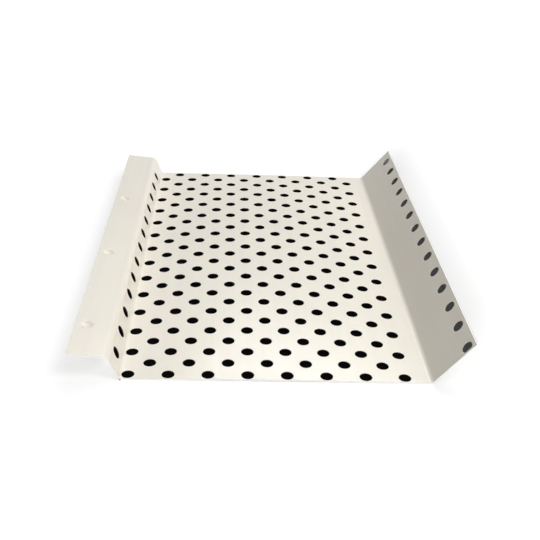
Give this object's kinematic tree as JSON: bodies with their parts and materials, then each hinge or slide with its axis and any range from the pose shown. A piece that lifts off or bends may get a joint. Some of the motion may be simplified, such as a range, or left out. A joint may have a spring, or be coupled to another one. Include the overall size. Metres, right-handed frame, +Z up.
{
  "type": "gutter guard",
  "caption": "Folded strip of perforated cream-coated sheet: flat drain pan, low flange on one side, slanted wall on the other; keeps leaves out of a roof gutter.",
  "frame": {"origin": "under the middle of the overall box, on the underside of the drain pan", "axes": "+X across the sheet from the flange to the wall, +Y along its length, +Z up"},
  "size_m": [0.162, 0.222, 0.0193],
  "materials": {
    "coated_sheet": "satin cream coil coating on aluminium sheet"
  },
  "bodies": {
    "root": {"gutter_guard": "coated_sheet"}
  },
  "joints": []
}
